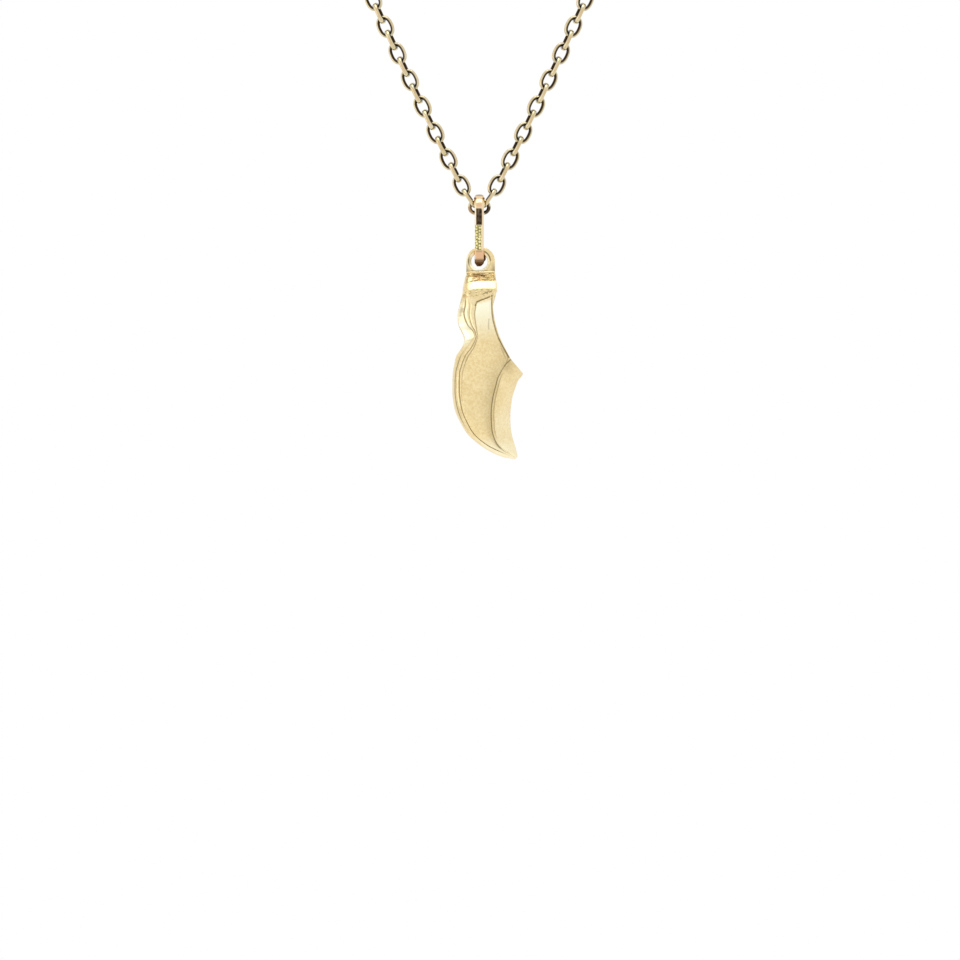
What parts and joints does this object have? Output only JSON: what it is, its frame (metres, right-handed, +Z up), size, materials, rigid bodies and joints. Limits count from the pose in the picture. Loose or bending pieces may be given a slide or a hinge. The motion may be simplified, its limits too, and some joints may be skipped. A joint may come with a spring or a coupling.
{
  "type": "clog pendant",
  "caption": "Gold charm in the shape of a hollow wooden clog, hung by its heel eye from a bail on the lowest stretch of an oval trace chain.",
  "frame": {"origin": "midway between the two highest links, where the rest of the necklace takes hold", "axes": "+Z up, along the hanging pendant; +X across the chain's V, towards the clog's open side; +Y away from the viewer"},
  "size_m": [0.0296, 0.0084, 0.0604],
  "materials": {
    "clog_gold": "polished yellow gold, lightly worn",
    "bail_gold": "polished rose gold",
    "chain_gold": "polished yellow gold with darkened hollows"
  },
  "bodies": {
    "neck_ends": {"left_link_17": "chain_gold", "right_link_17": "chain_gold"},
    "left_link_16": {"left_link_16": "chain_gold"},
    "left_link_15": {"left_link_15": "chain_gold"},
    "left_link_14": {"left_link_14": "chain_gold"},
    "left_link_13": {"left_link_13": "chain_gold"},
    "left_link_12": {"left_link_12": "chain_gold"},
    "left_link_11": {"left_link_11": "chain_gold"},
    "left_link_10": {"left_link_10": "chain_gold"},
    "left_link_09": {"left_link_09": "chain_gold"},
    "left_link_08": {"left_link_08": "chain_gold"},
    "left_link_07": {"left_link_07": "chain_gold"},
    "left_link_06": {"left_link_06": "chain_gold"},
    "left_link_05": {"left_link_05": "chain_gold"},
    "left_link_04": {"left_link_04": "chain_gold"},
    "left_link_03": {"left_link_03": "chain_gold"},
    "left_link_02": {"left_link_02": "chain_gold"},
    "left_link_01": {"left_link_01": "chain_gold"},
    "right_link_16": {"right_link_16": "chain_gold"},
    "right_link_15": {"right_link_15": "chain_gold"},
    "right_link_14": {"right_link_14": "chain_gold"},
    "right_link_13": {"right_link_13": "chain_gold"},
    "right_link_12": {"right_link_12": "chain_gold"},
    "right_link_11": {"right_link_11": "chain_gold"},
    "right_link_10": {"right_link_10": "chain_gold"},
    "right_link_09": {"right_link_09": "chain_gold"},
    "right_link_08": {"right_link_08": "chain_gold"},
    "right_link_07": {"right_link_07": "chain_gold"},
    "right_link_06": {"right_link_06": "chain_gold"},
    "right_link_05": {"right_link_05": "chain_gold"},
    "right_link_04": {"right_link_04": "chain_gold"},
    "right_link_03": {"right_link_03": "chain_gold"},
    "right_link_02": {"right_link_02": "chain_gold"},
    "right_link_01": {"right_link_01": "chain_gold"},
    "centre_link": {"centre_link": "chain_gold"},
    "bail": {"bail": "bail_gold"},
    "clog": {"clog_body": "clog_gold", "eye": "clog_gold"}
  },
  "joints": [
    {"name": "chain_swing", "type": "hinge", "parent": "neck_ends", "child": "left_link_16", "pos_m": [-0.01362, 0, -0.00084], "axis": [1, 0, 0], "range_deg": [-12, 12]},
    {"name": "left_link_15_turn", "type": "hinge", "parent": "left_link_16", "child": "left_link_15", "pos_m": [-0.0125, 0, -0.00335], "axis": [-0.409, 0, 0.9125], "range_deg": [-5, 5]},
    {"name": "left_link_14_turn", "type": "hinge", "parent": "left_link_16", "child": "left_link_14", "pos_m": [-0.01175, 0, -0.00503], "axis": [-0.4125, 0, 0.911], "range_deg": [-5, 5]},
    {"name": "left_link_13_turn", "type": "hinge", "parent": "left_link_16", "child": "left_link_13", "pos_m": [-0.01098, 0, -0.0067], "axis": [-0.416, 0, 0.9094], "range_deg": [-5, 5]},
    {"name": "left_link_12_turn", "type": "hinge", "parent": "left_link_16", "child": "left_link_12", "pos_m": [-0.01022, 0, -0.00837], "axis": [-0.4195, 0, 0.9078], "range_deg": [-5, 5]},
    {"name": "left_link_11_turn", "type": "hinge", "parent": "left_link_16", "child": "left_link_11", "pos_m": [-0.00945, 0, -0.01003], "axis": [-0.4229, 0, 0.9062], "range_deg": [-5, 5]},
    {"name": "left_link_10_turn", "type": "hinge", "parent": "left_link_16", "child": "left_link_10", "pos_m": [-0.00867, 0, -0.01169], "axis": [-0.4264, 0, 0.9045], "range_deg": [-5, 5]},
    {"name": "left_link_09_turn", "type": "hinge", "parent": "left_link_16", "child": "left_link_09", "pos_m": [-0.00788, 0, -0.01335], "axis": [-0.4299, 0, 0.9029], "range_deg": [-5, 5]},
    {"name": "left_link_08_turn", "type": "hinge", "parent": "left_link_16", "child": "left_link_08", "pos_m": [-0.00709, 0, -0.015], "axis": [-0.4333, 0, 0.9012], "range_deg": [-5, 5]},
    {"name": "left_link_07_turn", "type": "hinge", "parent": "left_link_16", "child": "left_link_07", "pos_m": [-0.00629, 0, -0.01666], "axis": [-0.4368, 0, 0.8996], "range_deg": [-5, 5]},
    {"name": "left_link_06_turn", "type": "hinge", "parent": "left_link_16", "child": "left_link_06", "pos_m": [-0.00549, 0, -0.01831], "axis": [-0.4403, 0, 0.8979], "range_deg": [-5, 5]},
    {"name": "left_link_05_turn", "type": "hinge", "parent": "left_link_16", "child": "left_link_05", "pos_m": [-0.00467, 0, -0.01995], "axis": [-0.4437, 0, 0.8962], "range_deg": [-5, 5]},
    {"name": "left_link_04_turn", "type": "hinge", "parent": "left_link_16", "child": "left_link_04", "pos_m": [-0.00386, 0, -0.02159], "axis": [-0.4471, 0, 0.8945], "range_deg": [-5, 5]},
    {"name": "left_link_03_turn", "type": "hinge", "parent": "left_link_16", "child": "left_link_03", "pos_m": [-0.00303, 0, -0.02323], "axis": [-0.4506, 0, 0.8927], "range_deg": [-5, 5]},
    {"name": "left_link_02_turn", "type": "hinge", "parent": "left_link_16", "child": "left_link_02", "pos_m": [-0.0022, 0, -0.02487], "axis": [-0.454, 0, 0.891], "range_deg": [-5, 5]},
    {"name": "left_link_01_turn", "type": "hinge", "parent": "left_link_16", "child": "left_link_01", "pos_m": [-0.00126, 0, -0.02644], "axis": [-0.5736, 0, 0.8192], "range_deg": [-5, 5]},
    {"name": "right_link_16_turn", "type": "hinge", "parent": "left_link_16", "child": "right_link_16", "pos_m": [0.01325, 0, -0.00168], "axis": [0.4055, 0, 0.9141], "range_deg": [-5, 5]},
    {"name": "right_link_15_turn", "type": "hinge", "parent": "left_link_16", "child": "right_link_15", "pos_m": [0.0125, 0, -0.00335], "axis": [0.409, 0, 0.9125], "range_deg": [-5, 5]},
    {"name": "right_link_14_turn", "type": "hinge", "parent": "left_link_16", "child": "right_link_14", "pos_m": [0.01175, 0, -0.00503], "axis": [0.4125, 0, 0.911], "range_deg": [-5, 5]},
    {"name": "right_link_13_turn", "type": "hinge", "parent": "left_link_16", "child": "right_link_13", "pos_m": [0.01098, 0, -0.0067], "axis": [0.416, 0, 0.9094], "range_deg": [-5, 5]},
    {"name": "right_link_12_turn", "type": "hinge", "parent": "left_link_16", "child": "right_link_12", "pos_m": [0.01022, 0, -0.00837], "axis": [0.4195, 0, 0.9078], "range_deg": [-5, 5]},
    {"name": "right_link_11_turn", "type": "hinge", "parent": "left_link_16", "child": "right_link_11", "pos_m": [0.00945, 0, -0.01003], "axis": [0.4229, 0, 0.9062], "range_deg": [-5, 5]},
    {"name": "right_link_10_turn", "type": "hinge", "parent": "left_link_16", "child": "right_link_10", "pos_m": [0.00867, 0, -0.01169], "axis": [0.4264, 0, 0.9045], "range_deg": [-5, 5]},
    {"name": "right_link_09_turn", "type": "hinge", "parent": "left_link_16", "child": "right_link_09", "pos_m": [0.00788, 0, -0.01335], "axis": [0.4299, 0, 0.9029], "range_deg": [-5, 5]},
    {"name": "right_link_08_turn", "type": "hinge", "parent": "left_link_16", "child": "right_link_08", "pos_m": [0.00709, 0, -0.015], "axis": [0.4333, 0, 0.9012], "range_deg": [-5, 5]},
    {"name": "right_link_07_turn", "type": "hinge", "parent": "left_link_16", "child": "right_link_07", "pos_m": [0.00629, 0, -0.01666], "axis": [0.4368, 0, 0.8996], "range_deg": [-5, 5]},
    {"name": "right_link_06_turn", "type": "hinge", "parent": "left_link_16", "child": "right_link_06", "pos_m": [0.00549, 0, -0.01831], "axis": [0.4403, 0, 0.8979], "range_deg": [-5, 5]},
    {"name": "right_link_05_turn", "type": "hinge", "parent": "left_link_16", "child": "right_link_05", "pos_m": [0.00467, 0, -0.01995], "axis": [0.4437, 0, 0.8962], "range_deg": [-5, 5]},
    {"name": "right_link_04_turn", "type": "hinge", "parent": "left_link_16", "child": "right_link_04", "pos_m": [0.00386, 0, -0.02159], "axis": [0.4471, 0, 0.8945], "range_deg": [-5, 5]},
    {"name": "right_link_03_turn", "type": "hinge", "parent": "left_link_16", "child": "right_link_03", "pos_m": [0.00303, 0, -0.02323], "axis": [0.4506, 0, 0.8927], "range_deg": [-5, 5]},
    {"name": "right_link_02_turn", "type": "hinge", "parent": "left_link_16", "child": "right_link_02", "pos_m": [0.0022, 0, -0.02487], "axis": [0.454, 0, 0.891], "range_deg": [-5, 5]},
    {"name": "right_link_01_turn", "type": "hinge", "parent": "left_link_16", "child": "right_link_01", "pos_m": [0.00126, 0, -0.02644], "axis": [0.5736, 0, 0.8192], "range_deg": [-5, 5]},
    {"name": "centre_link_roll", "type": "hinge", "parent": "left_link_16", "child": "centre_link", "pos_m": [0, 0, -0.02758], "axis": [1, 0, 0], "range_deg": [-6, 6]},
    {"name": "bail_swing", "type": "hinge", "parent": "centre_link", "child": "bail", "pos_m": [0, 0, -0.02676], "axis": [1, 0, 0], "range_deg": [-20, 20]},
    {"name": "clog_swing", "type": "hinge", "parent": "bail", "child": "clog", "pos_m": [0.00001, 0, -0.03437], "axis": [0, 1, 0], "range_deg": [-60, 60]}
  ]
}
